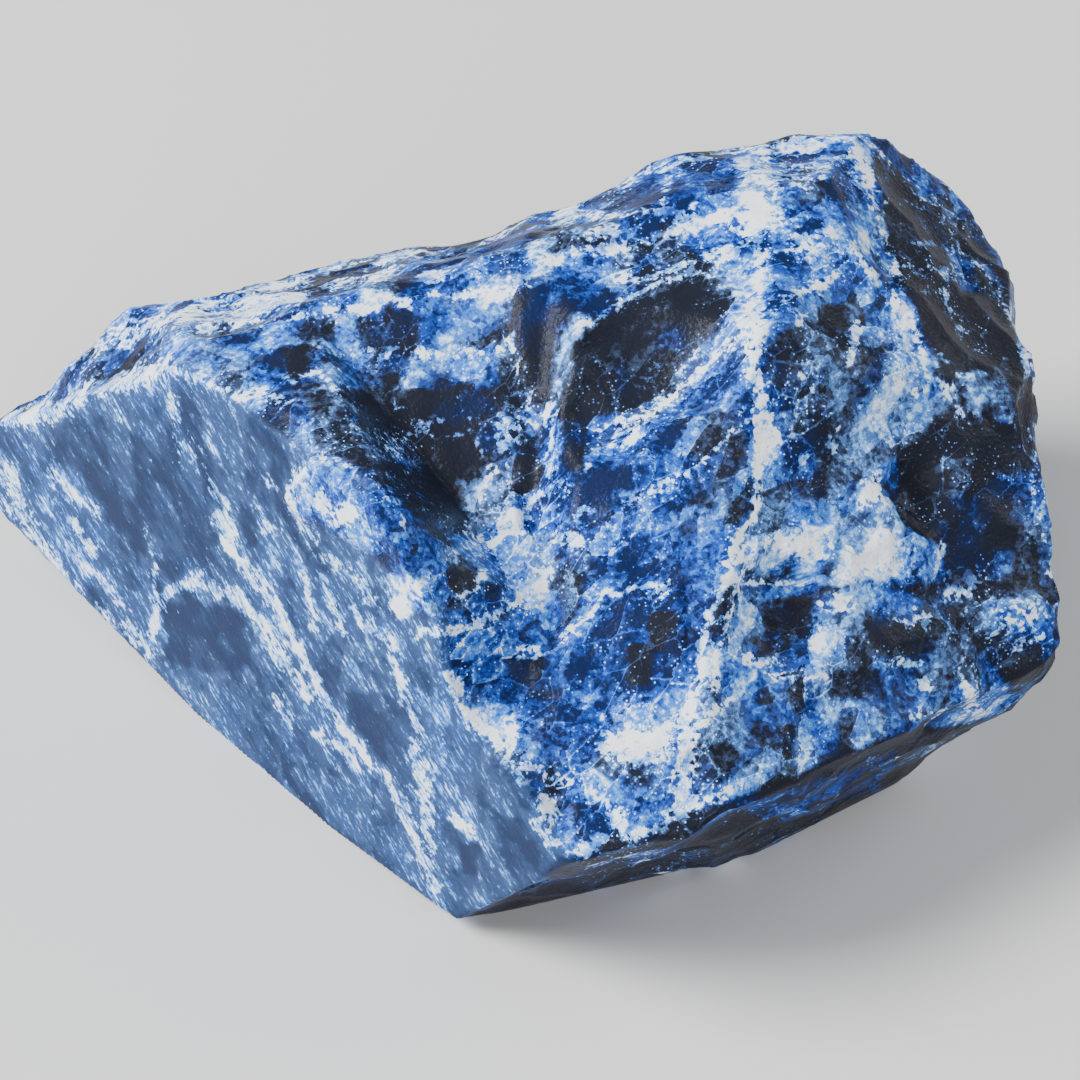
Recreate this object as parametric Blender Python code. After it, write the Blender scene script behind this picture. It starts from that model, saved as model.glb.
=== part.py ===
"""Rough sodalite: one broken piece of blue rock, 70 mm long, lying on its small flat underside.

The stone is modelled the way it broke. A block is cut by flat fracture faces that all look away from
one heart point, then valleys, steps and shell-shaped chips are taken out of it, and at the end the
whole skin is roughened by small chips. +X is the stone's length, +Y runs from the front to the back.
"""

import math

import bmesh
import bpy
import numpy as np
from mathutils import Vector

MM = 0.001

# The point inside the stone, in mm, from which every fracture face is measured.
HEART = (1.2, -1.2, 9.0)

# Flat fracture faces: bearing of the outward normal in degrees (0 is +X, 90 is +Y), its tilt above
# the horizontal in degrees, and the distance of the face from the heart in mm.
FRACTURES = {
    "streaked_front_left": (-137.5, 3, 15.1),
    "left_end": (162.5, 44, 29.0),
    "top": (-162.5, 86.5, 21.7),
    "rim_right": (97.5, 69, 26.2),
    "front_upper": (-62.5, 52, 20.7),
    "front_lower": (-87, 41, 22.3),
    "right_slope": (-49, 45.5, 21.5),
    "top_right": (-13, 72, 25.9),
    "crest": (-25, 59, 25.7),
    "dark_strip": (6.5, 51, 30.6),
    "right_end": (3, 5, 33.4),
    "right_end_lower": (-28, -12, 30.7),
    "undercut_left": (-73, -32.5, 17.9),
    "undercut_right": (-57, -24.5, 20.0),
    "underside_left": (-160, -66, 16.4),
    "underside_tip": (-120, -70, 13.4),
    "underside_right": (5, -48, 22.3),
    "back": (100.5, 5, 22.9),
    "back_lower": (98, -42, 19.5),
    "back_corner": (55, -12, 33.3),
    "resting_face": (0, -90, 9.0),
}

# Hollows that broke out between flat walls. The rock that lies outside all the walls of one hollow
# is gone, so its walls meet in a valley. Walls are measured as the fracture faces are.
HOLLOWS = {
    "rim_valley": {
        "rim_left": (113.5, 55.5, 23.8),
        "rim_middle": (138, 59, 21.2),
    },
    "front_valley": {
        "left_of_central_ridge": (-96.5, 58, 17.3),
        "right_of_main_ridge": (-18.5, 42, 11.1),
    },
    "west_hollow": {
        "rear_wall": (-90.5, 58.5, 14.7),
        "blade": (-157, 38, 10.0),
        "spur_wall": (17, 43, 6.5),
        "shelf": (-90, 73, 15.4),
    },
}

# Shell-shaped chips: the middle of the mouth in mm, the bearing and tilt it faces in degrees, the
# width of the mouth and the depth in mm.
CHIPS = {
    "dark_window": (9.2, 0.7, 30.8, -95, 64, 11.0, 2.0),
    "dark_window_foot": (5.9, -2.2, 28.0, -95, 62, 5.0, 0.7),
    "below_shelf": (1.6, -18.0, 19.4, -105, 58, 5.4, 0.7),
    "right_notch": (34.3, 4.7, 18.5, 10, 40, 7.0, 1.2),
    "east_pocket": (25.6, -2.6, 22.2, -49, 46, 5.5, 1.0),
    "east_ledge": (17.6, -11.4, 20.8, -62, 46, 7.0, 0.8),
    "east_dome": (24.4, -12.4, 16.4, -49, 40, 6.0, 0.8),
    "east_groove": (30.6, -9.8, 13.6, -30, 35, 5.0, 1.0),
    "low_middle": (10.4, -22.6, 16.6, -75, 50, 6.0, 0.7),
    "undercut_pocket": (16.0, -18.5, 8.0, -62, -25, 12.0, 1.0),
    "back_shell": (6.0, 21.2, 17.0, 100, 6, 26.0, 2.4),
    "back_left_shell": (-21.0, 16.6, 11.0, 105, 4, 15.0, 1.6),
    "back_low_shell": (12.0, 17.0, 4.5, 95, -42, 16.0, 1.6),
    "right_low_shell": (28.0, 4.0, 5.0, 5, -48, 14.0, 1.4),
}

BLOCK = 160.0  # side of the raw block in mm, well outside every face
CHIP_EDGE = 1.8  # mm, about the edge of the sphere faces that take out one chip
SHORTEST_EDGE = 0.1  # mm, below which the cuts' corners are merged
LONGEST_EDGE = 3.6  # mm, of the triangles that carry the roughness
REFINE_PASSES = 5

# The small chips all over the skin.
SEED = 41
CHIP_PITCH = 6.0  # mm between the middles of neighbouring small chips
CHIP_BOW = 6.5  # mm, radius of the bowl that each small chip leaves
CHIP_LEAN = 0.10  # how far the bowls lean, as a slope
CHIP_LEVEL = 0.5  # mm, the depth in the relief that leaves the skin where it was
CHIP_REACH = 0.45  # share of the full relief that is used
LATTICE_LOW = (-48.0, -40.0, -12.0)  # mm, the space that the small chips fill
LATTICE_HIGH = (48.0, 40.0, 44.0)
SMOOTH_SHARE = 0.12  # share of the small chips that is left on the streaked face
SMOOTH_BAND = 2.2  # mm below the streaked face where the small chips fade in
FLOOR_BAND = 2.0  # mm above the resting face where they fade in


def direction(bearing, tilt):
    """The unit vector that looks along a bearing, tilted above the horizontal."""
    flat = math.cos(math.radians(tilt))
    across = math.cos(math.radians(bearing)) * flat
    along = math.sin(math.radians(bearing)) * flat
    return Vector((across, along, math.sin(math.radians(tilt))))


def new_object(name, bm):
    mesh = bpy.data.meshes.new(name)
    bm.to_mesh(mesh)
    bm.free()
    obj = bpy.data.objects.new(name, mesh)
    bpy.context.collection.objects.link(obj)
    return obj


def block_cut_by(faces, keep_outside):
    """A big block, cut by each face in turn and closed again along the cut."""
    bm = bmesh.new()
    bmesh.ops.create_cube(bm, size=BLOCK * MM)
    for bearing, tilt, distance in faces:
        normal = direction(bearing, tilt)
        cut = bmesh.ops.bisect_plane(
            bm,
            geom=bm.verts[:] + bm.edges[:] + bm.faces[:],
            plane_co=(Vector(HEART) + normal * distance) * MM,
            plane_no=normal,
            clear_outer=not keep_outside,
            clear_inner=keep_outside,
        )
        rim = [item for item in cut["geom_cut"] if isinstance(item, bmesh.types.BMEdge)]
        bmesh.ops.contextual_create(bm, geom=rim)
    bmesh.ops.recalc_face_normals(bm, faces=bm.faces[:])
    return bm


def chip_ball(place, bearing, tilt, width, depth):
    """The sphere whose cap has this width and depth, with the cap's mouth at the place."""
    radius = (width**2 / 4 + depth**2) / (2 * depth)
    centre = Vector(place) + direction(bearing, tilt) * (radius - depth)
    halvings = 1 + round(math.log2(radius / CHIP_EDGE))
    bm = bmesh.new()
    bmesh.ops.create_icosphere(bm, subdivisions=halvings, radius=radius * MM)
    bmesh.ops.translate(bm, verts=bm.verts[:], vec=centre * MM)
    return bm


def subtract(stone, cutter):
    cutter.hide_render = True
    cutter.display_type = "WIRE"
    boolean = stone.modifiers.new(cutter.name, "BOOLEAN")
    boolean.operation = "DIFFERENCE"
    boolean.object = cutter
    boolean.solver = "EXACT"


def broken_block():
    """The block after the fracture faces, the hollows and the large chips."""
    stone = new_object("broken_block", block_cut_by(FRACTURES.values(), keep_outside=False))
    cutters = []
    for name, walls in HOLLOWS.items():
        cutters.append(new_object(name, block_cut_by(walls.values(), keep_outside=True)))
    for name, (x, y, z, bearing, tilt, width, depth) in CHIPS.items():
        cutters.append(new_object(name, chip_ball((x, y, z), bearing, tilt, width, depth)))
    for cutter in cutters:
        subtract(stone, cutter)
    graph = bpy.context.evaluated_depsgraph_get()
    bm = bmesh.new()
    bm.from_object(stone, graph)
    for obj in [stone] + cutters:
        bpy.data.objects.remove(obj)
    return bm


def refine(bm):
    """Merges the shortest edges, then halves the long ones until none is over LONGEST_EDGE."""
    bmesh.ops.remove_doubles(bm, verts=bm.verts[:], dist=SHORTEST_EDGE * MM)
    bmesh.ops.triangulate(bm, faces=bm.faces[:])
    for _ in range(REFINE_PASSES):
        long_edges = [edge for edge in bm.edges if edge.calc_length() > LONGEST_EDGE * MM]
        bmesh.ops.subdivide_edges(bm, edges=long_edges, cuts=1)
        bmesh.ops.triangulate(bm, faces=bm.faces[:], quad_method="SHORT_EDGE")


def smoothstep(values):
    held = np.clip(values, 0, 1)
    return held * held * (3 - 2 * held)


def small_chips(points):
    """Depth of the small chips in mm: shallow leaning bowls whose edges meet in crisp ridges.

    Space is divided into cubes of CHIP_PITCH, each with the middle of one bowl at a random place in
    it. A bowl is a paraboloid around its middle, and the skin follows the lowest of the bowls near.
    """
    rng = np.random.RandomState(SEED)
    low = np.array(LATTICE_LOW)
    counts = np.ceil((np.array(LATTICE_HIGH) - low) / CHIP_PITCH).astype(int)
    places = rng.uniform(0, 1, (*counts, 3))
    leans = rng.normal(0, CHIP_LEAN, (*counts, 3))
    home = np.floor((points - low) / CHIP_PITCH).astype(int)
    lowest = np.full(len(points), np.inf)
    for step in np.ndindex(3, 3, 3):
        cell = np.clip(home + np.array(step) - 1, 0, counts - 1)
        index = tuple(cell.T)
        away = points - (low + (cell + places[index]) * CHIP_PITCH)
        bowl = (away * away).sum(axis=1) / (2 * CHIP_BOW) + (away * leans[index]).sum(axis=1)
        lowest = np.minimum(lowest, bowl)
    return lowest


def roughen(bm):
    """Moves each point along its own line from the heart, by the relief of the small chips."""
    bm.verts.ensure_lookup_table()
    heart = np.array(HEART)
    points = np.array([vert.co[:] for vert in bm.verts]) / MM
    relief = (small_chips(points) - CHIP_LEVEL) * CHIP_REACH
    bearing, tilt, distance = FRACTURES["streaked_front_left"]
    below_face = distance - (points - heart) @ np.array(direction(bearing, tilt))
    relief *= SMOOTH_SHARE + (1 - SMOOTH_SHARE) * smoothstep(below_face / SMOOTH_BAND)
    relief *= smoothstep(points[:, 2] / FLOOR_BAND)
    away = points - heart
    reach = np.linalg.norm(away, axis=1, keepdims=True)
    moved = heart + away * (1 + relief[:, None] / reach)
    centre = (moved.min(axis=0) + moved.max(axis=0)) / 2
    moved[:, :2] -= centre[:2]
    for vert, place in zip(bm.verts, moved):
        vert.co = Vector(place * MM)


def sodalite():
    """Dark blue glassy stone, an even stand-in for its veins and windows."""
    material = bpy.data.materials.new("sodalite")
    material.use_nodes = True
    shader = material.node_tree.nodes["Principled BSDF"]
    shader.inputs["Base Color"].default_value = (0.045, 0.085, 0.24, 1.0)
    shader.inputs["Roughness"].default_value = 0.42
    shader.inputs["Metallic"].default_value = 0.0
    return material


for old in list(bpy.data.objects):
    bpy.data.objects.remove(old)

body = broken_block()
refine(body)
roughen(body)
bmesh.ops.triangulate(body, faces=body.faces[:])
bmesh.ops.recalc_face_normals(body, faces=body.faces[:])
stone = new_object("sodalite_stone", body)
stone.data.materials.append(sodalite())
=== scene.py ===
import math

import bpy
import numpy as np
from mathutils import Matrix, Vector


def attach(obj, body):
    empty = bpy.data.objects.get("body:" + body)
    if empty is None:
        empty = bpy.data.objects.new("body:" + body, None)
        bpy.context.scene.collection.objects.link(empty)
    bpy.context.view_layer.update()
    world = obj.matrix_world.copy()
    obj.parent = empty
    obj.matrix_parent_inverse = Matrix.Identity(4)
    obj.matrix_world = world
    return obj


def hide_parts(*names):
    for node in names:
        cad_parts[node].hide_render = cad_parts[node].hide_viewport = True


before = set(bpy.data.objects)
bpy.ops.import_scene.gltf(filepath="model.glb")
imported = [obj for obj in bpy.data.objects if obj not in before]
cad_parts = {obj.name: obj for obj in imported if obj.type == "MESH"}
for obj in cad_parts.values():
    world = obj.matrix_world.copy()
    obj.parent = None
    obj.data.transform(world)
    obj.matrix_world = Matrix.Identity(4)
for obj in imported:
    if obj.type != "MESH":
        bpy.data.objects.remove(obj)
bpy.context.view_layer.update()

# The stone's broken shape.
# One piece of rock, so its skin is one closed surface. It is worked out as a distance from one heart
# point inside the stone: the nearest fracture face, hollow wall or shell-shaped chip along each ray.

MM = 0.001
HEART = np.array([1.2, -1.2, 9.0])  # mm, before the stone is centred on its footprint

# bearing of the outward normal and its tilt above the horizontal in degrees, distance in mm
FRACTURES = {
    "streaked_front_left": (-137.5, 3, 15.1),
    "left_end": (162.5, 44, 29.0),
    "top": (-162.5, 86.5, 21.7),
    "rim_right": (97.5, 69, 26.2),
    "front_upper": (-62.5, 52, 20.7),
    "front_lower": (-87, 41, 22.3),
    "right_slope": (-49, 45.5, 21.5),
    "top_right": (-13, 72, 25.9),
    "crest": (-25, 59, 25.7),
    "dark_strip": (6.5, 51, 30.6),
    "right_end": (3, 5, 33.4),
    "right_end_lower": (-28, -12, 30.7),
    "undercut_left": (-73, -32.5, 17.9),
    "undercut_right": (-57, -24.5, 20.0),
    "underside_left": (-160, -66, 16.4),
    "underside_tip": (-120, -70, 13.4),
    "underside_right": (5, -48, 22.3),
    "back": (100.5, 5, 22.9),
    "back_lower": (98, -42, 19.5),
    "back_corner": (55, -12, 33.3),
    "resting_face": (0, -90, 9.0),
}
# the walls of each hollow: the rock that lies outside all of them is gone
HOLLOWS = {
    "rim_valley": [(113.5, 55.5, 23.8), (138, 59, 21.2)],
    "front_valley": [(-96.5, 58, 17.3), (-18.5, 42, 11.1)],
    "west_hollow": [(-90.5, 58.5, 14.7), (-157, 38, 10.0), (17, 43, 6.5), (-90, 73, 15.4)],
}
# middle of the mouth in mm, bearing and tilt in degrees, width and depth in mm
CHIPS = {
    "dark_window": (9.2, 0.7, 30.8, -95, 64, 11.0, 2.0),
    "dark_window_foot": (5.9, -2.2, 28.0, -95, 62, 5.0, 0.7),
    "below_shelf": (1.6, -18.0, 19.4, -105, 58, 5.4, 0.7),
    "right_notch": (34.3, 4.7, 18.5, 10, 40, 7.0, 1.2),
    "east_pocket": (25.6, -2.6, 22.2, -49, 46, 5.5, 1.0),
    "east_ledge": (17.6, -11.4, 20.8, -62, 46, 7.0, 0.8),
    "east_dome": (24.4, -12.4, 16.4, -49, 40, 6.0, 0.8),
    "east_groove": (30.6, -9.8, 13.6, -30, 35, 5.0, 1.0),
    "low_middle": (10.4, -22.6, 16.6, -75, 50, 6.0, 0.7),
    "undercut_pocket": (16.0, -18.5, 8.0, -62, -25, 12.0, 1.0),
    "back_shell": (6.0, 21.2, 17.0, 100, 6, 26.0, 2.4),
    "back_left_shell": (-21.0, 16.6, 11.0, 105, 4, 15.0, 1.6),
    "back_low_shell": (12.0, 17.0, 4.5, 95, -42, 16.0, 1.6),
    "right_low_shell": (28.0, 4.0, 5.0, 5, -48, 14.0, 1.4),
}
GRID = (176, 132, 80)  # cells of the ray grid along the stone's length, depth and height
GRID_BOX = np.array([34.0, 25.0, 15.5])  # mm, half sides of the box that spreads the rays evenly
GRID_MIDDLE = np.array([0.0, 0.0, 4.5])  # mm from the heart
FAR = 1e3  # mm, the reach of a ray that meets nothing
LEAST = 1e-6  # cosine under which a ray counts as never meeting a face

# small chips: mm between their middles, radius of each bowl in mm, how far the bowls lean, seed
COARSE_CHIPS = (6.0, 6.5, 0.10, 41)
COARSE_LEVEL = 0.5  # mm, the depth in the relief that leaves the skin where it was
COARSE_REACH = 0.45  # share of the full relief that is used
LATTICE_LOW = np.array([-48.0, -40.0, -12.0])  # mm, the space that the small chips fill
LATTICE_HIGH = np.array([48.0, 40.0, 44.0])
SMOOTH_SHARE = 0.12  # share of the small chips that is left on the streaked face
SMOOTH_BAND = 2.2  # mm below the streaked face where the small chips fade in
FLOOR_BAND = 2.0  # mm above the resting face where they fade in


def direction(bearing, tilt):
    """Unit vector: east and north share the cosine of the tilt, and up is its sine."""
    b, t = math.radians(bearing), math.radians(tilt)
    return np.array([math.cos(b) * math.cos(t), math.sin(b) * math.cos(t), math.sin(t)])


def ray_grid():
    """Rays from the heart through a grid of two parameters on each side of a box.

    The six grids share their border points, so the surface closes with no seam.
    """
    nx, ny, nz = GRID
    lattice = -np.ones((nx + 1, ny + 1, nz + 1), int)
    i, j, k = np.indices(lattice.shape)
    skin = (i % nx == 0) | (j % ny == 0) | (k % nz == 0)
    lattice[skin] = np.arange(skin.sum())
    steps = np.stack([i[skin] / nx, j[skin] / ny, k[skin] / nz], axis=1)
    rays = (steps * 2 - 1) * GRID_BOX + GRID_MIDDLE
    rays /= np.linalg.norm(rays, axis=1, keepdims=True)
    faces = []
    for axis in range(3):
        for end, flip in ((0, True), (-1, False)):
            sheet = np.take(lattice, end, axis=axis)
            if axis == 1:
                flip = not flip
            a, b, c, d = sheet[:-1, :-1], sheet[1:, :-1], sheet[1:, 1:], sheet[:-1, 1:]
            quads = np.stack([a, d, c, b] if flip else [a, b, c, d], axis=-1)
            faces.append(quads.reshape(-1, 4))
    return rays, np.concatenate(faces)


def face_reach(rays, faces):
    """Distance along each ray to the nearest of the faces that it points at."""
    nearest = np.full(len(rays), FAR)
    for bearing, tilt, distance in faces:
        towards = rays @ direction(bearing, tilt)
        nearest = np.minimum(nearest, distance / np.maximum(towards, LEAST))
    return nearest


def hollow_reach(rays, walls):
    """Distance at which each ray comes out through the last wall of a hollow."""
    last = np.zeros(len(rays))
    for bearing, tilt, distance in walls:
        towards = rays @ direction(bearing, tilt)
        reach = np.where(towards > LEAST, distance / np.maximum(towards, LEAST), FAR)
        last = np.maximum(last, reach)
    return last


def chip_reach(rays, chip):
    """Distance at which each ray enters the ball whose cap has the chip's width and depth."""
    x, y, z, bearing, tilt, width, depth = chip
    radius = (width**2 / 4 + depth**2) / (2 * depth)
    middle = np.array([x, y, z]) + direction(bearing, tilt) * (radius - depth) - HEART
    along = rays @ middle
    inside = along**2 - middle @ middle + radius**2
    return np.where((inside > 0) & (along > 0), along - np.sqrt(np.maximum(inside, 0)), FAR)


def bowls(points, pitch, bow, lean, seed):
    """Relief of shallow leaning bowls: the lowest of the paraboloids around random middles.

    Space is divided into cubes of the pitch, with one middle in each, so only the 27 cubes around a
    point count. Neighbouring bowls meet in crisp ridges, as chips on broken rock do.
    """
    rng = np.random.RandomState(seed)
    counts = np.ceil((LATTICE_HIGH - LATTICE_LOW) / pitch).astype(int)
    places = rng.uniform(0, 1, (*counts, 3))
    leans = rng.normal(0, lean, (*counts, 3))
    home = np.floor((points - LATTICE_LOW) / pitch).astype(int)
    lowest = np.full(len(points), np.inf)
    for step in np.ndindex(3, 3, 3):
        cell = np.clip(home + np.array(step) - 1, 0, counts - 1)
        index = tuple(cell.T)
        away = points - (LATTICE_LOW + (cell + places[index]) * pitch)
        bowl = (away * away).sum(axis=1) / (2 * bow) + (away * leans[index]).sum(axis=1)
        lowest = np.minimum(lowest, bowl)
    return lowest


def smoothstep(values):
    """Zero below 0, one above 1, and 3v^2 - 2v^3 between."""
    held = np.clip(values, 0, 1)
    return held * held * (3 - 2 * held)


rays, quads = ray_grid()
reach = face_reach(rays, FRACTURES.values())
for walls in HOLLOWS.values():
    reach = np.minimum(reach, hollow_reach(rays, walls))
for chip in CHIPS.values():
    reach = np.minimum(reach, chip_reach(rays, chip))
skin = HEART + rays * reach[:, None]

bearing, tilt, distance = FRACTURES["streaked_front_left"]
below_streaked = distance - (skin - HEART) @ direction(bearing, tilt)
rough = SMOOTH_SHARE + (1 - SMOOTH_SHARE) * smoothstep(below_streaked / SMOOTH_BAND)
rough *= smoothstep(skin[:, 2] / FLOOR_BAND)
skin += rays * ((bowls(skin, *COARSE_CHIPS) - COARSE_LEVEL) * COARSE_REACH * rough)[:, None]
middle = (skin.min(axis=0) + skin.max(axis=0)) / 2
shift = np.array([middle[0], middle[1], 0.0])
skin -= shift

mesh = bpy.data.meshes.new("rough_sodalite")
mesh.from_pydata((skin * MM).tolist(), [], quads.tolist())
mesh.update()
mesh.shade_smooth()
stone = bpy.data.objects.new("rough_sodalite", mesh)
bpy.context.collection.objects.link(stone)

# Facets of the broken skin, where the photograph shows them.
# Each is one small cleavage face of the rock, with its own depth of blue; a few are painted shade or
# painted highlight, drawn darker where shade falls on them or paler where light catches them. They are
# drawn as polygons in the photograph's own pixels, carried onto the skin along the camera's rays, and
# raised or sunk.

PHOTO_PIXELS = 1080  # width and height of the photograph
PIXEL_AT_TARGET = 0.0643  # mm on the stone for one pixel
CAMERA_DISTANCE = 300.0  # mm
CAMERA_ELEVATION = math.radians(45)
CAMERA_TARGET = np.array([2.2, 3.3, 12.0]) - shift  # mm
CAMERA_BACK = np.array([0, -math.cos(CAMERA_ELEVATION), math.sin(CAMERA_ELEVATION)])
CAMERA_UP = np.array([0, math.sin(CAMERA_ELEVATION), math.cos(CAMERA_ELEVATION)])
EYE = CAMERA_TARGET + CAMERA_DISTANCE * CAMERA_BACK


def picture(points):
    """Places in the photograph: right and down from its corner, shrunk by the distance from the eye."""
    offset = points - CAMERA_TARGET
    scale = CAMERA_DISTANCE / (CAMERA_DISTANCE - offset @ CAMERA_BACK) / PIXEL_AT_TARGET
    across = PHOTO_PIXELS / 2 + offset[:, 0] * scale
    down = PHOTO_PIXELS / 2 - (offset @ CAMERA_UP) * scale
    return np.stack([across, down], axis=1)


def gap_to(places, start, end):
    """Distance from each place to the stretch between two points: the nearest point is held to it."""
    start, stretch = np.array(start, float), np.subtract(end, start).astype(float)
    share = np.clip(((places - start) @ stretch) / (stretch @ stretch), 0, 1)
    return np.linalg.norm(places - start - share[:, None] * stretch, axis=1)


def inside(places, corners, soft):
    """One inside a polygon and zero outside it, with a smooth step of the soft width at its border."""
    nearest = np.full(len(places), np.inf)
    within = np.zeros(len(places), bool)
    for start, end in zip(corners, corners[1:] + corners[:1]):
        nearest = np.minimum(nearest, gap_to(places, start, end))
        if start[1] != end[1]:
            crossing = start[0] + (places[:, 1] - start[1]) * (end[0] - start[0]) / (end[1] - start[1])
            level = (places[:, 1] > min(start[1], end[1])) & (places[:, 1] <= max(start[1], end[1]))
            within ^= level & (places[:, 0] < crossing)
    return smoothstep(np.where(within, nearest, -nearest) / soft + 0.5)


def mottle(points, pitch, seed):
    """Soft noise from -1 to 1: random numbers on a cubic lattice, blended by smooth steps between."""
    rng = np.random.RandomState(seed)
    values = rng.uniform(-1, 1, (MOTTLE_TILE, MOTTLE_TILE, MOTTLE_TILE))
    spot = points / pitch
    home = np.floor(spot).astype(int)
    blend = smoothstep(spot - home)
    total = np.zeros(len(points))
    for corner in np.ndindex(2, 2, 2):
        share = np.prod(np.where(corner, blend, 1 - blend), axis=1)
        total += share * values[tuple((home + corner).T % MOTTLE_TILE)]
    return total


def mottles(points, parts):
    """Sum of soft noises, each given as its strength, its pitch in mm and its seed."""
    return sum(strength * mottle(points, pitch, seed) for strength, pitch, seed in parts)


def wander(points, pitch, seeds):
    """A column of soft noise for each seed, to move places by."""
    return np.stack([mottle(points, pitch, seed) for seed in seeds], axis=1)


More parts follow.
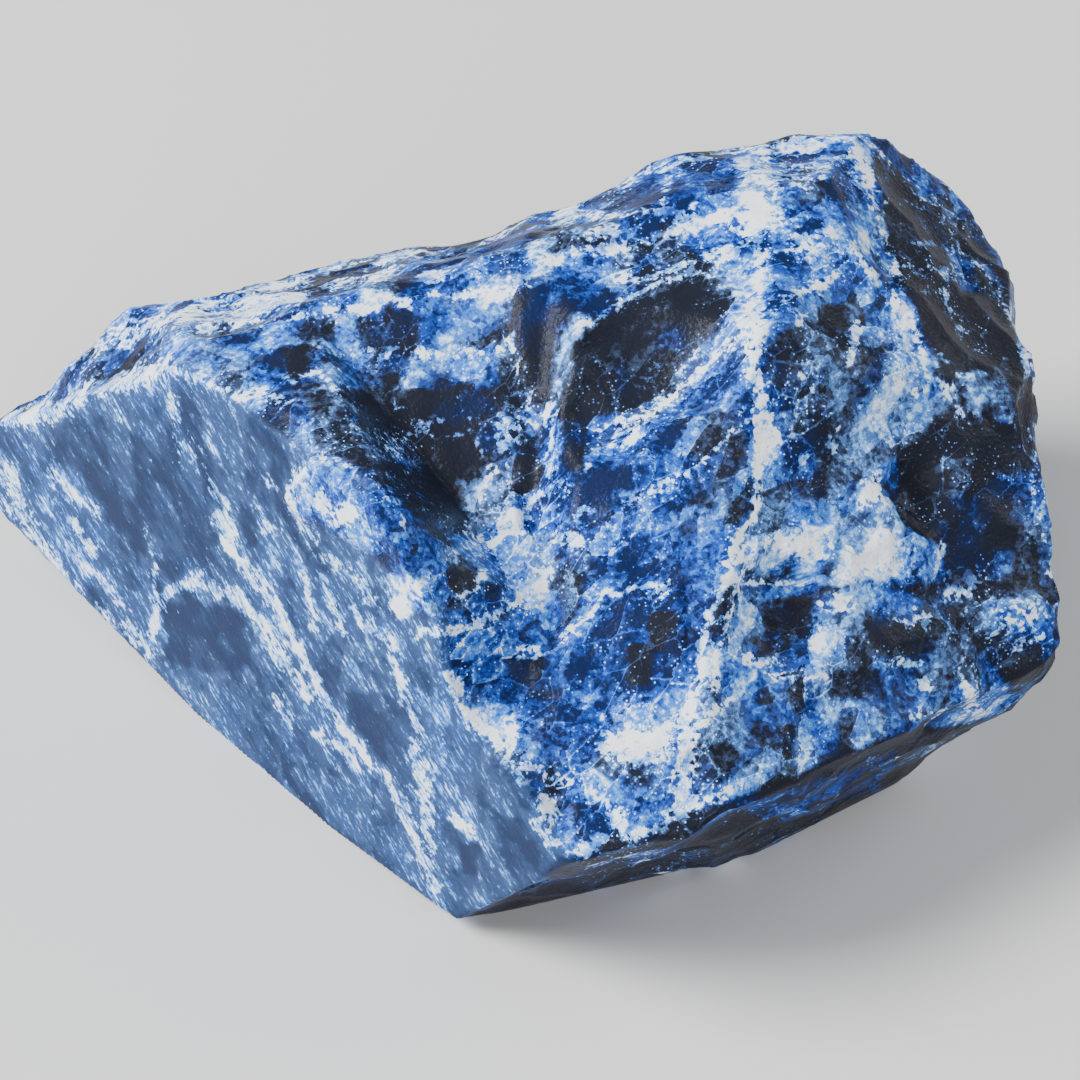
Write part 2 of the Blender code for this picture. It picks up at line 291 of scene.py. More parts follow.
# name: (paleness from black to white, blueness, lift in mm, corners)
FACETS = {
    "streaked_face": (0.34, 0.4, 0, [(0, 400), (160, 350), (300, 450), (380, 600), (450, 900),
        (300, 800), (0, 560)]),
    "streaked_slate_high": (0.16, 0.2, 0, [(57, 417), (105, 417), (138, 440), (138, 502), (105, 494),
        (60, 450)]),
    "streaked_slate": (0.2, 0.2, 0, [(92, 437), (220, 437), (225, 500), (215, 560), (170, 576),
        (110, 520)]),
    "streaked_royal": (0.24, 1.0, 0, [(134, 446), (150, 415), (165, 371), (191, 371), (191, 423),
        (172, 446)]),
    "streaked_smooth": (0.3, 0.15, 0, [(205, 400), (298, 400), (317, 440), (305, 485), (266, 485),
        (215, 500)]),
    "streaked_low": (0.14, 0.25, 0, [(165, 603), (191, 599), (249, 612), (255, 655), (230, 675),
        (165, 660)]),
    "streaked_foot": (0.18, 0.2, 0, [(350, 690), (419, 700), (425, 790), (400, 790), (350, 720)]),
    "streaked_blue": (0.36, 0.9, 0, [(20, 440), (60, 450), (110, 530), (140, 600), (110, 620),
        (40, 530)]),
    "plateau": (0.29, 0.6, 0, [(160, 350), (330, 310), (520, 290), (540, 400), (470, 470),
        (420, 430), (320, 460), (180, 375)]),
    "rear_wall": (0.11, 0.25, 0, [(312, 393), (414, 385), (520, 400), (540, 470), (470, 480),
        (430, 440), (380, 467), (320, 455)]),
    "main_slope": (0.16, 1.0, 0, [(560, 480), (650, 420), (740, 350), (755, 430), (745, 520),
        (690, 690), (560, 690), (545, 600)]),
    "slope_by_ridge": (0.2, 0.55, 0, [(700, 400), (745, 390), (750, 480), (720, 560), (690, 560),
        (690, 450)]),
    "crest_side": (0.35, 0.4, 0, [(765, 360), (850, 300), (940, 400), (960, 470), (890, 470),
        (800, 470), (770, 430)]),
    "cobweb": (0.68, 0.75, 0.3, [(870, 472), (889, 502), (904, 529), (887, 583), (841, 586),
        (751, 573), (753, 535), (803, 527), (822, 527), (837, 497), (859, 481)]),
    "top_corner": (0.42, 0.9, 0, [(670, 180), (740, 150), (870, 140), (880, 250), (850, 300),
        (765, 340), (735, 290), (700, 260)]),
    "dark_strip": (0.03, 0.12, 0, [(870, 147), (912, 180), (1011, 308), (1035, 400), (1030, 560),
        (1050, 650), (1000, 680), (950, 560), (900, 520), (890, 460), (960, 400), (905, 290)]),
    "strip_low": (0.2, 0.45, 0, [(925, 500), (1036, 470), (1050, 640), (1000, 680), (950, 580)]),
    "east_low": (0.33, 0.55, 0, [(760, 590), (900, 600), (1000, 690), (1000, 720), (760, 790),
        (700, 800), (720, 640)]),
    "foot": (0.38, 0.8, 0, [(450, 680), (560, 690), (690, 690), (690, 815), (560, 850), (520, 790)]),
    # painted shade: the undercut and its bulge face down under the overhang and are drawn darker for the
    # shade there
    "undercut": (-0.05, 0.25, 0, [(560, 858), (740, 797), (900, 735), (1010, 718), (1040, 740),
        (860, 820), (700, 880), (480, 915)]),
    "undercut_bulge": (0.16, 0.9, 0.2, [(730, 806), (800, 782), (900, 752), (880, 790), (780, 820)]),
    "dark_window": (0.02, 0.1, -0.3, [(580, 325), (603, 317), (645, 292), (680, 279), (714, 282),
        (729, 298), (729, 328), (699, 353), (670, 380), (641, 403), (615, 411), (584, 416),
        (565, 409), (565, 390), (572, 351)]),
    # painted shade and painted highlight: the blade's side, facing away from the light, is drawn dark, and
    # the strip beside it, facing the light, is drawn pale
    "blade": (-0.06, 0.6, 0.5, [(515, 290), (542, 286), (555, 313), (556, 361), (549, 407),
        (534, 403), (525, 370), (517, 342)]),
    "lit_strip": (0.45, 0.55, 0.1, [(555, 313), (580, 325), (572, 347), (565, 380), (551, 407)]),
    "strip_foot": (0.36, 0.9, 0, [(546, 407), (558, 407), (558, 466), (547, 466)]),
    "blade_back": (0.1, 0.4, -0.2, [(496, 363), (520, 355), (532, 405), (500, 400)]),
    "left_window": (0.05, 0.25, -0.25, [(299, 314), (335, 312), (337, 337), (300, 338)]),
    "right_window": (0.05, 0.35, -0.25, [(360, 308), (419, 304), (419, 350), (362, 352)]),
    "between_windows": (0.38, 1.0, 0.1, [(338, 313), (358, 310), (360, 350), (340, 351)]),
    "rim_navy": (0.12, 0.8, 0, [(304, 289), (355, 286), (355, 303), (304, 306)]),
    "rim_blue": (0.42, 1.0, 0, [(406, 286), (439, 283), (439, 296), (406, 298)]),
    # painted highlight: this pale cell on the top-left rim's bevel is partly the light that the bevel
    # catches
    "rim_pale": (0.62, 0.35, 0.1, [(358, 276), (404, 271), (404, 300), (360, 304)]),
    "cracked_blue": (0.34, 0.95, 0, [(419, 303), (500, 298), (500, 338), (419, 342)]),
    "plateau_royal": (0.28, 1.0, 0, [(440, 345), (496, 342), (496, 386), (450, 380)]),
    "plateau_dark": (0.08, 0.3, -0.1, [(450, 383), (500, 386), (500, 414), (450, 412)]),
    "small_royal": (0.32, 1.0, 0, [(258, 368), (290, 366), (290, 392), (262, 392)]),
    "small_dark": (0.06, 0.2, 0, [(286, 345), (306, 345), (306, 373), (288, 375)]),
    "top_navy": (0.14, 0.8, -0.1, [(483, 240), (549, 223), (545, 262), (500, 279), (483, 270)]),
    "top_pale": (0.62, 0.3, 0.1, [(527, 240), (557, 237), (552, 282), (530, 280)]),
    "rim_cell_left": (0.12, 0.75, 0.1, [(584, 196), (640, 178), (666, 170), (666, 208), (600, 214)]),
    "rim_cell_right": (0.14, 0.75, 0, [(670, 172), (714, 162), (714, 200), (670, 206)]),
    "top_royal": (0.25, 1.0, 0, [(618, 216), (666, 215), (664, 238), (620, 242)]),
    "dark_oval": (0.08, 0.7, -0.2, [(634, 258), (648, 254), (664, 258), (662, 271), (640, 273)]),
    "sky_top": (0.48, 1.0, 0, [(553, 250), (614, 246), (612, 276), (570, 284), (553, 275)]),
    "royal_top": (0.33, 1.0, 0, [(568, 284), (592, 282), (592, 304), (570, 302)]),
    "navy_cell": (0.14, 0.9, 0, [(690, 170), (738, 152), (736, 206), (694, 206)]),
    "sky_cell": (0.55, 1.0, 0, [(737, 180), (748, 180), (748, 206), (738, 206)]),
    "pale_cells": (0.6, 0.6, 0.1, [(742, 165), (828, 159), (828, 200), (742, 206)]),
    "blue_cells": (0.36, 1.0, 0, [(774, 170), (803, 168), (803, 193), (776, 193)]),
    "navy_end_cell": (0.14, 0.95, 0, [(830, 163), (851, 163), (851, 199), (832, 199)]),
    "royal_crest": (0.3, 1.0, 0, [(788, 207), (822, 207), (822, 228), (788, 229)]),
    "navy_crest": (0.18, 1.0, -0.1, [(768, 237), (799, 240), (799, 295), (772, 298)]),
    "royal_crest_foot": (0.3, 1.0, 0, [(815, 240), (848, 236), (862, 290), (820, 293)]),
    "blue_band": (0.48, 1.0, 0, [(860, 293), (882, 293), (889, 331), (866, 331)]),
    "crest_dark": (0.06, 0.3, -0.1, [(818, 306), (841, 306), (841, 327), (820, 327)]),
    "crest_pale": (0.58, 0.4, 0.15, [(881, 363), (904, 363), (904, 398), (885, 398)]),
    "violet_edge": (0.26, 0.9, 0, [(946, 240), (962, 248), (984, 290), (965, 293)]),
    "corner_pale": (0.52, 0.55, 0.2, [(961, 372), (1000, 369), (1015, 400), (1010, 428), (975, 425)]),
    "corner_notch": (0.04, 0.2, -0.2, [(982, 408), (997, 406), (997, 428), (984, 428)]),
    "web_dark_cell": (0.1, 0.45, -0.15, [(790, 475), (825, 470), (830, 495), (795, 498)]),
    "web_royal_cell": (0.33, 1.0, 0, [(784, 503), (834, 500), (830, 525), (790, 527)]),
    "web_sky_cell": (0.52, 1.0, 0, [(837, 485), (857, 479), (855, 515), (840, 519)]),
    "web_triangle": (0.62, 0.45, 0.1, [(765, 527), (770, 490), (790, 485), (788, 520)]),
    "web_dark_triangle": (0.1, 0.4, -0.1, [(782, 577), (790, 558), (805, 578)]),
    "ledge_blue": (0.3, 1.0, -0.2, [(761, 586), (818, 585), (815, 597), (765, 597)]),
    "ledge_dark": (0.06, 0.35, -0.4, [(753, 599), (820, 596), (806, 638), (770, 628)]),
    "royal_triangle": (0.46, 1.0, 0.3, [(876, 468), (893, 454), (897, 502), (885, 497)]),
    "east_pocket": (0.1, 0.15, -0.4, [(893, 470), (915, 452), (942, 468), (945, 500), (920, 518),
        (898, 500)]),
    "web_sky_facet": (0.55, 1.0, 0.2, [(888, 548), (910, 533), (935, 545), (939, 570), (910, 588),
        (887, 575)]),
    "bright_blue": (0.42, 1.0, 0, [(857, 590), (900, 588), (925, 600), (920, 613), (870, 610)]),
    "dome": (0.06, 0.35, 0.2, [(862, 640), (875, 622), (905, 619), (924, 635), (915, 655), (880, 657)]),
    "dome_blue": (0.42, 0.9, 0, [(824, 634), (851, 634), (851, 655), (826, 655)]),
    "low_blue": (0.42, 0.9, 0, [(725, 674), (759, 672), (757, 699), (728, 701)]),
    "low_dark": (0.07, 0.3, -0.1, [(828, 672), (882, 672), (884, 698), (830, 700)]),
    "low_royal": (0.35, 1.0, 0, [(916, 692), (945, 692), (940, 711), (918, 711)]),
    "slope_royal": (0.33, 1.0, 0, [(636, 520), (700, 505), (705, 555), (670, 583), (636, 583)]),
    "slope_olive": (0.05, 0.1, -0.1, [(648, 615), (672, 615), (670, 652), (650, 652)]),
    "slope_olive_foot": (0.05, 0.1, 0, [(629, 644), (648, 644), (648, 684), (630, 682)]),
    "slope_dark": (0.07, 0.3, 0, [(557, 571), (582, 575), (576, 625), (557, 629)]),
    "slope_top_dark": (0.06, 0.25, 0, [(559, 412), (590, 420), (586, 472), (560, 470)]),
    "strip_pale": (0.46, 0.35, 0.2, [(943, 455), (973, 460), (970, 493), (948, 490)]),
    "end_chunk": (0.5, 0.55, 0.5, [(989, 600), (1030, 593), (1056, 605), (1050, 637), (1012, 646),
        (992, 632)]),
    "end_groove": (0.38, 0.95, -0.3, [(979, 675), (995, 660), (1014, 700), (990, 713)]),
    "end_brown": (0.04, 0.0, 0, [(996, 662), (1040, 648), (1045, 675), (1012, 690)]),
    "end_bluish": (0.38, 0.7, 0, [(993, 548), (1014, 543), (1012, 574), (997, 577)]),
    "tip_sky": (0.46, 0.8, 0.1, [(430, 660), (455, 657), (480, 740), (470, 791), (440, 760)]),
    "tip_grey": (0.3, 0.25, 0.2, [(472, 772), (497, 745), (522, 795), (545, 839), (554, 868),
        (533, 893), (487, 898)]),
    "tip_spot": (0.06, 0.2, 0, [(461, 843), (480, 839), (482, 872), (464, 876)]),
    "foot_royal": (0.33, 1.0, 0, [(507, 705), (600, 700), (602, 760), (520, 768)]),
    "foot_navy": (0.16, 0.95, 0, [(554, 635), (621, 629), (615, 680), (560, 686)]),
    "foot_dark": (0.09, 0.5, 0, [(660, 630), (702, 625), (700, 685), (662, 690)]),
    "foot_grey": (0.35, 0.3, 0, [(596, 751), (620, 753), (618, 774), (598, 774)]),
    "foot_dark_chip": (0.1, 0.6, -0.1, [(629, 758), (658, 755), (652, 791), (631, 787)]),
    "foot_royal_chip": (0.33, 1.0, 0, [(631, 790), (671, 786), (668, 816), (635, 818)]),
    "foot_navy_chip": (0.18, 0.85, 0, [(520, 770), (552, 768), (558, 795), (530, 801)]),
    "foot_sky_chip": (0.48, 0.95, 0, [(562, 791), (581, 793), (579, 824), (564, 822)]),
    "foot_dark_cell": (0.09, 0.45, -0.1, [(568, 808), (610, 803), (622, 835), (580, 847)]),
    "spur": (0.45, 1.0, 0.5, [(316, 458), (348, 469), (373, 473), (394, 503), (405, 532), (420, 560),
        (380, 560), (302, 520), (288, 496), (302, 471)]),
    "spur_navy": (0.2, 1.0, -0.1, [(375, 484), (394, 500), (407, 532), (390, 532)]),
    "royal_block": (0.29, 1.0, 0.2, [(377, 540), (428, 538), (446, 568), (446, 599), (420, 574),
        (385, 574)]),
    "spur_foot": (0.55, 0.8, 0.1, [(386, 576), (428, 578), (437, 614), (400, 616)]),
    # painted shade: the hollow's wall faces away from the light and is drawn near black for its shade
    "hollow_dark": (0.05, 0.25, -0.3, [(377, 463), (430, 460), (462, 490), (462, 534), (430, 534),
        (395, 500)]),
    "hollow_glassy": (0.02, 0.1, 0, [(437, 442), (475, 434), (487, 460), (450, 472)]),
    "wall_brown": (0.04, 0.0, 0, [(504, 458), (540, 453), (544, 485), (514, 491)]),
    "wedge": (0.42, 0.3, 0.6, [(485, 479), (521, 495), (521, 529), (466, 533)]),
    "wedge_side": (0.08, 0.2, 0, [(489, 466), (508, 464), (516, 491), (494, 478)]),
    "block_blue": (0.42, 0.95, 0.2, [(537, 505), (565, 499), (565, 540), (540, 545)]),
    "block_pale": (0.52, 0.5, 0.2, [(523, 529), (557, 529), (557, 600), (530, 604)]),
    "shelf_grey": (0.4, 0.65, 0, [(485, 540), (523, 537), (527, 580), (490, 583)]),
    "shelf_pocket": (0.05, 0.25, -0.2, [(445, 571), (479, 571), (477, 588), (448, 590)]),
    "shelf_lip": (0.42, 1.0, 0.3, [(430, 634), (500, 630), (530, 600), (546, 612), (548, 657),
        (500, 659), (436, 659)]),
    "shelf_royal": (0.4, 1.0, 0, [(430, 612), (472, 608), (520, 580), (525, 598), (480, 624),
        (434, 628)]),
    # painted shade: the rock just below the shelf's front edge is drawn dark for the shadow the shelf
    # casts
    "below_shelf": (0.11, 0.55, -0.2, [(451, 664), (562, 661), (560, 700), (470, 709)]),
}
VEIL_BREAKS = ("spur", "spur_navy", "royal_block", "spur_foot")  # they lie over the streaked face
FACET_BORDER = 5.0  # px
FACET_WAVE = 4.0  # px, how far the borders wander
FACET_WAVE_PITCH = 1.6  # mm
FACET_WAVE_SEEDS = (1, 2)
SEEN_START = -0.02  # cosine between the skin's normal and the line to the eye: the drawing starts
SEEN_FADE = 0.22  # cosines over which it fades in
STREAKED_DEPTH = 0.25  # mm below the streaked face that still belong to it
STREAKED_FADE = 0.5  # mm
MOTTLE_TILE = 32  # lattice points after which the soft noise repeats

# the rock between and behind the facets: each tone's middle, and its swings as strength, pitch, seed
ROCK_PALENESS = 0.30
ROCK_PALE_SWINGS = [(0.12, 5.0, 3)]
ROCK_BLUENESS = 0.55
ROCK_BLUE_SWINGS = [(0.45, 6.0, 4)]
# patches on the hidden sides: change of paleness, pitch in mm, seed, contrast and start of the noise
HIDDEN_PATCHES = {"pale": (0.35, 7.0, 5, 2.0, -0.2), "dark": (-0.30, 8.0, 6, 2.5, 0.0)}

# the smaller chips and the crystal grain: sizes as in COARSE_CHIPS, then the level
FINER_CHIPS = {"chips": ((3.1, 9.0, 0.14, 42), -0.12), "grain": ((1.3, 4.0, 0.16, 43), -0.03)}
FINER_REACH = 0.55
GLASSY_SHARE = 0.3  # share of the smaller chips that is left in black glassy windows
GLASSY_PALENESS = 0.25  # paleness from which the rock has all of them

normals = np.empty(len(skin) * 3, np.float32)
mesh.vertex_normals.foreach_get("vector", normals)
to_eye = EYE - skin
to_eye /= np.linalg.norm(to_eye, axis=1, keepdims=True)
facing = (normals.reshape(-1, 3) * to_eye).sum(axis=1)
seen = smoothstep((facing - SEEN_START) / SEEN_FADE)
hidden = 1 - seen

waves = wander(skin, FACET_WAVE_PITCH, FACET_WAVE_SEEDS)
waves += wander(skin, FACET_WAVE_PITCH / 2, FACET_WAVE_SEEDS) / 2
waves *= FACET_WAVE
places = picture(skin) + waves
paleness = ROCK_PALENESS + mottles(skin, ROCK_PALE_SWINGS)
blueness = ROCK_BLUENESS + mottles(skin, ROCK_BLUE_SWINGS)
lift = np.zeros(len(skin))
for facet_paleness, facet_blueness, facet_lift, corners in FACETS.values():
    share = seen * inside(places, corners, FACET_BORDER)
    paleness += share * (facet_paleness - paleness)
    blueness += share * (facet_blueness - blueness)
    lift += share * (facet_lift - lift)
for change, pitch, seed, contrast, start in HIDDEN_PATCHES.values():
    paleness += hidden * change * smoothstep(mottle(skin, pitch, seed) * contrast + start)
streaked = 1 - smoothstep((below_streaked - STREAKED_DEPTH) / STREAKED_FADE)
for name in VEIL_BREAKS:
    streaked *= 1 - inside(places, FACETS[name][3], FACET_BORDER)

crisp = rough * (GLASSY_SHARE + (1 - GLASSY_SHARE) * smoothstep(paleness / GLASSY_PALENESS))
relief = lift * smoothstep(skin[:, 2] / FLOOR_BAND)
for sizes, level in FINER_CHIPS.values():
    relief += (bowls(skin, *sizes) - level) * FINER_REACH * crisp
skin += rays * relief[:, None]
mesh.vertices.foreach_set("co", (skin * MM).astype(np.float32).ravel())
mesh.update()

# White veins and specks of the rock, where the photograph shows them, with painted highlight along the lit
# top rim. Sodalite is shot through with pale feldspar and white calcite, which fill old cracks. Veins are
# routes and specks are ellipses in the photograph's pixels; wavy sheets cut through the hidden sides.

VEIN_FALL = 2.0  # how fast a vein fades across
SPECK_FALL = 1.6  # how fast a speck fades outwards
SPECK_POWER = 1.5  # how flat its top is


def along(places, route, width):
    """Strength of a vein: a bell over the distance from the nearest stretch of its route."""
    nearest = np.full(len(places), np.inf)
    for start, end in zip(route[:-1], route[1:]):
        nearest = np.minimum(nearest, gap_to(places, start, end))
    return np.exp(-VEIN_FALL * (nearest / width) ** 2)


def strongest(places, routes, spread=1.0):
    """The strongest of the routes at each place, each the spread times its own width."""
    total = np.zeros(len(places))
    for strength, width, route in routes.values():
        total = np.maximum(total, strength * along(places, route, spread * width))
    return total


def patch(places, middle, radii, turn):
    """Strength of a speck: a flat-topped bell over an ellipse, turned by some degrees."""
    c, s = math.cos(math.radians(turn)), math.sin(math.radians(turn))
    gap = places - np.array(middle, float)
    wide = (gap[:, 0] * c + gap[:, 1] * s) / radii[0]
    high = (gap[:, 1] * c - gap[:, 0] * s) / radii[1]
    return np.exp(-SPECK_FALL * (wide * wide + high * high) ** SPECK_POWER)


def cells(points, pitch, seed):
    """Flat tones from -1 to 1: each place takes the random tone of the nearest random middle."""
    rng = np.random.RandomState(seed)
    counts = np.ceil((LATTICE_HIGH - LATTICE_LOW) / pitch).astype(int)
    places = rng.uniform(0, 1, (*counts, 3))
    tones = rng.uniform(-1, 1, counts)
    home = np.floor((points - LATTICE_LOW) / pitch).astype(int)
    nearest = np.full(len(points), np.inf)
    tone = np.zeros(len(points))
    for step in np.ndindex(3, 3, 3):
        cell = np.clip(home + np.array(step) - 1, 0, counts - 1)
        index = tuple(cell.T)
        gap = np.linalg.norm(points - (LATTICE_LOW + (cell + places[index]) * pitch), axis=1)
        tone = np.where(gap < nearest, tones[index], tone)
        nearest = np.minimum(nearest, gap)
    return tone


# name: (strength, half width in pixels, route)
WHITE_VEINS_AND_RIM_HIGHLIGHTS = {
    # painted highlight: the white along the top-left rim is partly white rock and partly the light that
    # the rim catches
    "left_band": (0.95, 15, [(10, 417), (44, 415), (86, 392), (134, 379), (149, 370)]),
    "left_rim": (0.75, 13, [(20, 400), (83, 351), (138, 333), (207, 312), (275, 293), (331, 279),
        (386, 270)]),
    "crease_top": (0.65, 7, [(165, 358), (172, 390), (182, 444)]),
    "crease": (0.95, 8, [(182, 444), (207, 475), (220, 498), (230, 528), (224, 544), (247, 570),
        (274, 601), (297, 643), (308, 668), (344, 730), (386, 778), (406, 813), (427, 868),
        (441, 889)]),
    "high_band": (0.85, 6, [(48, 469), (63, 486), (80, 500), (98, 513)]),
    "middle_band": (0.85, 6, [(71, 519), (84, 540), (96, 551)]),
    "low_band": (0.85, 6, [(82, 565), (99, 580), (115, 595), (124, 614)]),
    "left_edge": (0.8, 13, [(4, 467), (14, 498), (32, 530), (46, 556), (66, 590), (89, 605),
        (109, 624), (136, 638), (151, 652)]),
    "y_vein": (1.0, 8, [(151, 656), (153, 628), (159, 603), (172, 586), (191, 582), (207, 576),
        (216, 590), (239, 601), (254, 614), (268, 632)]),
    "y_branch": (0.8, 5, [(153, 599), (153, 567), (149, 542), (149, 526)]),
    "plateau_vein": (1.0, 6, [(168, 364), (184, 375), (203, 379), (230, 393), (249, 400), (268, 393),
        (283, 404), (298, 396)]),
    "plateau_fork": (0.8, 5, [(289, 380), (307, 373), (324, 380), (340, 391)]),
    "dash_high": (0.85, 5, [(243, 568), (272, 597), (293, 639)]),
    "dash_left": (0.85, 6, [(230, 587), (253, 614)]),
    "dash_middle": (0.85, 5, [(306, 572), (308, 597), (314, 635)]),
    "dash_right": (0.8, 5, [(323, 576), (335, 610), (346, 633)]),
    "dash_wide": (1.0, 9, [(270, 639), (283, 660), (299, 682), (308, 698)]),
    "dash_spur": (0.85, 7, [(356, 614), (377, 637)]),
    "dash_low": (0.8, 6, [(318, 692), (331, 709), (344, 726)]),
    "dash_lower": (0.85, 8, [(315, 738), (346, 752), (358, 768)]),
    "dash_outer": (0.8, 7, [(275, 700), (292, 722)]),
    "spur_band": (0.7, 9, [(318, 549), (335, 559), (356, 576), (377, 606)]),
    "inner_crease": (0.75, 9, [(386, 640), (400, 680), (413, 730), (420, 780), (432, 850)]),
    "spur_left": (0.85, 6, [(302, 471), (288, 496), (299, 522), (318, 540)]),
    "spur_top": (0.6, 4, [(316, 458), (348, 469), (373, 473), (394, 503), (405, 532)]),
    "wedge_foot": (1.0, 7, [(475, 535), (489, 541), (521, 529), (519, 514), (500, 520)]),
    "wedge_edge": (0.7, 3, [(466, 533), (485, 479), (502, 460), (512, 489)]),
    "block_left": (1.0, 7, [(527, 516), (533, 502), (542, 495), (557, 483), (567, 487)]),
    "pocket_crescent": (1.0, 4, [(458, 594), (474, 588), (488, 574)]),
    "shelf_vein": (1.0, 7, [(420, 635), (441, 629), (468, 629), (493, 618), (510, 606), (520, 597)]),
    "wall_line": (0.75, 3, [(381, 393), (419, 424)]),
    "wall_blue_line": (0.75, 4, [(370, 466), (416, 432), (456, 412), (465, 393)]),
    "crackle_across": (0.75, 3, [(435, 430), (477, 437)]),
    "crackle_down": (0.75, 3, [(462, 411), (485, 457), (489, 470)]),
    "window_foot": (1.0, 6, [(609, 443), (617, 434), (638, 430), (623, 445)]),
    "window_edge": (0.9, 5, [(600, 432), (624, 422), (647, 414), (670, 401), (699, 375), (720, 352),
        (740, 333)]),
    "window_inner_edge": (0.7, 3, [(638, 409), (670, 388), (699, 357)]),
    "slope_line": (0.7, 3, [(613, 552), (628, 539)]),
    "slope_low_line": (0.9, 5, [(561, 638), (573, 629), (590, 613), (605, 594), (638, 590),
        (668, 583)]),
    "strip_end": (1.0, 4, [(549, 407), (551, 440), (551, 483)]),
    # painted highlight: the outline along the top silhouette and the rim line are partly white rock and
    # partly the light that the rim catches
    "rim_outline": (0.8, 5, [(100, 333), (184, 311), (279, 285), (345, 271), (406, 254), (457, 242),
        (500, 234), (536, 212), (584, 191), (641, 174), (700, 155), (758, 145), (822, 137),
        (850, 138)]),
    "rim_line": (1.0, 4, [(289, 319), (330, 312), (370, 306), (406, 301), (444, 296), (500, 291),
        (530, 285)]),
    "plateau_haze": (0.45, 6, [(324, 357), (400, 354), (500, 350)]),
    "rim_inner": (0.85, 4, [(560, 217), (599, 214), (666, 213), (700, 205)]),
    "rim_cross": (0.6, 3, [(667, 168), (667, 210)]),
    "top_vein": (1.0, 7, [(540, 262), (580, 250), (613, 248), (641, 246), (660, 237), (680, 227),
        (704, 219), (734, 214)]),
    "second_top_vein": (0.95, 5, [(616, 277), (641, 277), (670, 269), (699, 261), (727, 246)]),
    "window_top": (0.9, 4, [(580, 323), (603, 317), (618, 303), (641, 290), (670, 279), (699, 275),
        (722, 287)]),
    "blade_edge": (0.85, 3, [(507, 342), (534, 405)]),
    # painted highlight: these outlines continue the lit top silhouette, partly white rock and partly the
    # light that it catches
    "top_outline": (1.0, 7, [(757, 152), (790, 148), (822, 146)]),
    "outline_end": (0.95, 7, [(857, 150), (864, 165), (872, 184)]),
    "ridge_trunk": (1.0, 10, [(757, 225), (760, 260), (757, 300), (753, 352), (760, 390), (766, 434)]),
    "ridge_branch": (0.9, 6, [(755, 235), (735, 248), (715, 268)]),
    "crest_diagonal": (1.0, 5, [(784, 302), (810, 288), (834, 277)]),
    "crest_strip": (1.0, 5, [(851, 241), (860, 260), (876, 279)]),
    "strip_line": (0.85, 4, [(872, 184), (878, 207), (885, 237), (893, 264), (903, 289)]),
    "crest_edge": (1.0, 4, [(889, 293), (904, 321), (918, 340), (927, 369), (948, 396), (965, 420)]),
    "crest_line": (0.8, 3, [(799, 369), (818, 398), (841, 425)]),
    "strip_cross_high": (0.7, 3, [(874, 203), (918, 204)]),
    "strip_cross": (0.7, 3, [(891, 264), (931, 268), (957, 280)]),
    "strip_cross_low": (0.7, 3, [(917, 293), (944, 291), (953, 314), (965, 345)]),
    "strip_short": (0.6, 3, [(938, 346), (957, 369), (965, 386)]),
    "strip_outline": (0.6, 4, [(869, 145), (911, 184), (944, 222), (970, 262), (1009, 312),
        (1026, 335), (1035, 360), (1036, 383)]),
    "ridge_line": (1.0, 6, [(766, 434), (757, 474), (753, 512), (740, 535), (727, 583), (715, 602),
        (705, 640), (700, 678), (688, 707)]),
    "ridge_beside": (0.85, 4, [(744, 550), (733, 600), (723, 630), (713, 688)]),
    "ledge_line": (1.0, 4, [(748, 583), (778, 582), (807, 583)]),
    "dome_arc": (0.9, 4, [(881, 617), (900, 620), (916, 627)]),
    "dome_line": (0.8, 4, [(889, 663), (918, 659)]),
    "low_line": (0.7, 4, [(765, 672), (795, 680), (822, 680)]),
    "slope_specks": (0.5, 9, [(650, 497), (698, 464), (742, 426)]),
    "chunk_edge": (1.0, 6, [(995, 633), (1012, 648), (1033, 642), (1050, 637)]),
    "end_strip": (1.0, 8, [(963, 683), (980, 712)]),
    "end_outline": (0.6, 4, [(1031, 430), (1035, 478), (1036, 514), (1044, 545), (1053, 570),
        (1055, 602)]),
    "bottom_line": (0.6, 4, [(903, 717), (937, 711)]),
    "foot_ridge": (1.0, 8, [(449, 677), (468, 715), (493, 742), (510, 763), (522, 782)]),
    "tip_line": (0.9, 5, [(455, 816), (468, 830), (478, 845)]),
    "ridge_foot": (1.0, 13, [(690, 705), (685, 760), (679, 813)]),
    "foot_branch": (0.8, 7, [(698, 732), (714, 712), (728, 698)]),
    "foot_arc": (1.0, 6, [(529, 768), (549, 778), (573, 782), (593, 791), (608, 807), (621, 826)]),
    "foot_edge": (0.95, 7, [(535, 822), (549, 841), (568, 851), (593, 847), (621, 837), (660, 828),
        (677, 818), (698, 805), (730, 789)]),
    "foot_line": (0.7, 4, [(608, 713), (637, 703)]),
}
